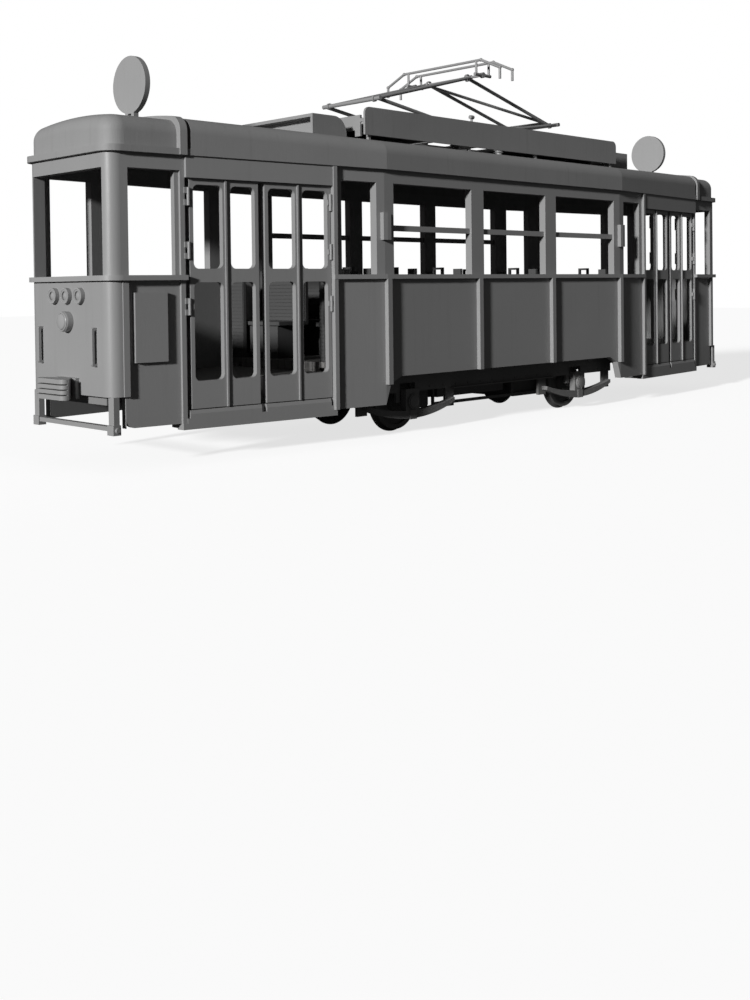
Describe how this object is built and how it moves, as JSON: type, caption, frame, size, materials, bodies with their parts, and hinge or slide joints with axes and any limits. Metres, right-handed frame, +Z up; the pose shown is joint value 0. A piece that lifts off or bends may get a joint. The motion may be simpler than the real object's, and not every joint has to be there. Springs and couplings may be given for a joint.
{
  "type": "tramcar",
  "caption": "Electric tramcar on two axles with tapered ends, folding doors on one side, roof boards and a lowered diamond pantograph.",
  "frame": {"origin": "under the middle of the car, level with the lowest point of the wheel flanges", "axes": "+X towards the rear end, +Z up, doors on the -Y side"},
  "size_m": [11.36, 2.2, 4.4168],
  "materials": {
    "body_paint": "satin",
    "door_paint": "satin",
    "trim_paint": "satin",
    "roof_paint": "matte",
    "sign_paint": "satin",
    "pantograph_paint": "satin",
    "running_gear": "matte",
    "buffing_gear": "satin",
    "lamp_glass": "satin",
    "seat_wood": "satin",
    "floor_boards": "matte"
  },
  "bodies": {
    "carbody": {"air_hood_front": "roof_paint", "air_hood_rear": "roof_paint", "axlebox_front_blind_side": "running_gear", "axlebox_front_door_side": "running_gear", "axlebox_rear_blind_side": "running_gear", "axlebox_rear_door_side": "running_gear", "belt_rail_door_side": "trim_paint", "belt_rail_ends": "trim_paint", "blind_panel_front": "body_paint", "blind_panel_rear": "body_paint", "blind_side_cantrail": "body_paint", "blind_side_posts": "body_paint", "blind_side_transoms": "body_paint", "blind_side_wall": "body_paint", "coupler_front": "buffing_gear", "coupler_rear": "buffing_gear", "door_side_cantrail": "body_paint", "door_side_posts": "body_paint", "door_side_transoms": "body_paint", "door_side_wall": "body_paint", "doorway_front": "body_paint", "doorway_rear": "body_paint", "end_wall_front": "body_paint", "end_wall_rear": "body_paint", "floor": "floor_boards", "headlamp_front": "lamp_glass", "headlamp_rear": "lamp_glass", "lifeguard_front": "buffing_gear", "lifeguard_rear": "buffing_gear", "main_roof": "roof_paint", "motor_front": "running_gear", "motor_rear": "running_gear", "pantograph_base": "pantograph_paint", "roof_boards": "roof_paint", "roof_dome_front": "roof_paint", "roof_dome_rear": "roof_paint", "roof_sign_front": "sign_paint", "roof_sign_rear": "sign_paint", "seat_backs_blind_side": "seat_wood", "seat_backs_door_side": "seat_wood", "seats_blind_side": "seat_wood", "seats_door_side": "seat_wood", "truck_frame": "running_gear", "underframe": "running_gear"},
    "wheelset_front": {"wheelset_front": "running_gear"},
    "wheelset_rear": {"wheelset_rear": "running_gear"},
    "door_leaf_front_1": {"door_leaf_front_1": "door_paint"},
    "door_leaf_front_2": {"door_leaf_front_2": "door_paint"},
    "door_leaf_front_3": {"door_leaf_front_3": "door_paint"},
    "door_leaf_front_4": {"door_leaf_front_4": "door_paint"},
    "door_leaf_rear_1": {"door_leaf_rear_1": "door_paint"},
    "door_leaf_rear_2": {"door_leaf_rear_2": "door_paint"},
    "door_leaf_rear_3": {"door_leaf_rear_3": "door_paint"},
    "door_leaf_rear_4": {"door_leaf_rear_4": "door_paint"},
    "pantograph_lower_front": {"pantograph_lower_front": "pantograph_paint"},
    "pantograph_lower_rear": {"pantograph_lower_rear": "pantograph_paint"},
    "pantograph_upper_front": {"pantograph_upper_front": "pantograph_paint"},
    "pantograph_upper_rear": {"pantograph_upper_rear": "pantograph_paint"},
    "pantograph_head": {"pantograph_head": "pantograph_paint"}
  },
  "joints": [
    {"name": "wheelset_front_spin", "type": "hinge", "parent": "carbody", "child": "wheelset_front", "pos_m": [-1.619, 0, 0.36], "axis": [0, 1, 0], "continuous": true},
    {"name": "wheelset_rear_spin", "type": "hinge", "parent": "carbody", "child": "wheelset_rear", "pos_m": [1.619, 0, 0.36], "axis": [0, 1, 0], "continuous": true},
    {"name": "door_front_1_hinge", "type": "hinge", "parent": "carbody", "child": "door_leaf_front_1", "pos_m": [-4.64683, -0.80697, 1.6], "axis": [0, 0, -1], "range_deg": [0, 84]},
    {"name": "door_front_2_hinge", "type": "hinge", "parent": "door_leaf_front_1", "child": "door_leaf_front_2", "pos_m": [-4.21107, -0.75849, 1.6], "axis": [0, 0, 1], "range_deg": [0, 168]},
    {"name": "door_front_4_hinge", "type": "hinge", "parent": "carbody", "child": "door_leaf_front_4", "pos_m": [-2.98689, -0.98235, 1.6], "axis": [0, 0, 1], "range_deg": [0, 84]},
    {"name": "door_front_3_hinge", "type": "hinge", "parent": "door_leaf_front_4", "child": "door_leaf_front_3", "pos_m": [-3.36607, -0.84777, 1.6], "axis": [0, 0, -1], "range_deg": [0, 168]},
    {"name": "door_rear_1_hinge", "type": "hinge", "parent": "carbody", "child": "door_leaf_rear_1", "pos_m": [4.64683, -0.80697, 1.6], "axis": [0, 0, 1], "range_deg": [0, 84]},
    {"name": "door_rear_2_hinge", "type": "hinge", "parent": "door_leaf_rear_1", "child": "door_leaf_rear_2", "pos_m": [4.21107, -0.75849, 1.6], "axis": [0, 0, -1], "range_deg": [0, 168]},
    {"name": "door_rear_4_hinge", "type": "hinge", "parent": "carbody", "child": "door_leaf_rear_4", "pos_m": [2.98689, -0.98235, 1.6], "axis": [0, 0, -1], "range_deg": [0, 84]},
    {"name": "door_rear_3_hinge", "type": "hinge", "parent": "door_leaf_rear_4", "child": "door_leaf_rear_3", "pos_m": [3.36607, -0.84777, 1.6], "axis": [0, 0, 1], "range_deg": [0, 168]},
    {"name": "pantograph_lift", "type": "hinge", "parent": "carbody", "child": "pantograph_lower_front", "pos_m": [-0.09, 0, 3.55], "axis": [0, 1, 0], "range_deg": [0, 21.5]},
    {"name": "pantograph_lower_rear_turn", "type": "hinge", "parent": "carbody", "child": "pantograph_lower_rear", "pos_m": [0.09, 0, 3.55], "axis": [0, -1, 0], "range_deg": [0, 21.5]},
    {"name": "pantograph_upper_front_turn", "type": "hinge", "parent": "pantograph_lower_front", "child": "pantograph_upper_front", "pos_m": [-1.71, 0, 3.79], "axis": [0, -1, 0], "range_deg": [0, 38.11]},
    {"name": "pantograph_upper_rear_turn", "type": "hinge", "parent": "pantograph_lower_rear", "child": "pantograph_upper_rear", "pos_m": [1.71, 0, 3.79], "axis": [0, 1, 0], "range_deg": [0, 38.11]},
    {"name": "pantograph_head_turn", "type": "hinge", "parent": "pantograph_upper_front", "child": "pantograph_head", "pos_m": [0, 0, 4.232], "axis": [0, 1, 0], "range_deg": [0, 16.61]}
  ],
  "couplings": [
    {"joint": "door_front_2_hinge", "follows": "door_front_1_hinge", "ratio": 2},
    {"joint": "door_front_3_hinge", "follows": "door_front_4_hinge", "ratio": 2},
    {"joint": "door_rear_2_hinge", "follows": "door_rear_1_hinge", "ratio": 2},
    {"joint": "door_rear_3_hinge", "follows": "door_rear_4_hinge", "ratio": 2},
    {"joint": "pantograph_lower_rear_turn", "follows": "pantograph_lift", "ratio": 1},
    {"joint": "pantograph_upper_front_turn", "follows": "pantograph_lift", "ratio": 1.768},
    {"joint": "pantograph_upper_rear_turn", "follows": "pantograph_lift", "ratio": 1.768},
    {"joint": "pantograph_head_turn", "follows": "pantograph_lift", "ratio": 0.768}
  ]
}
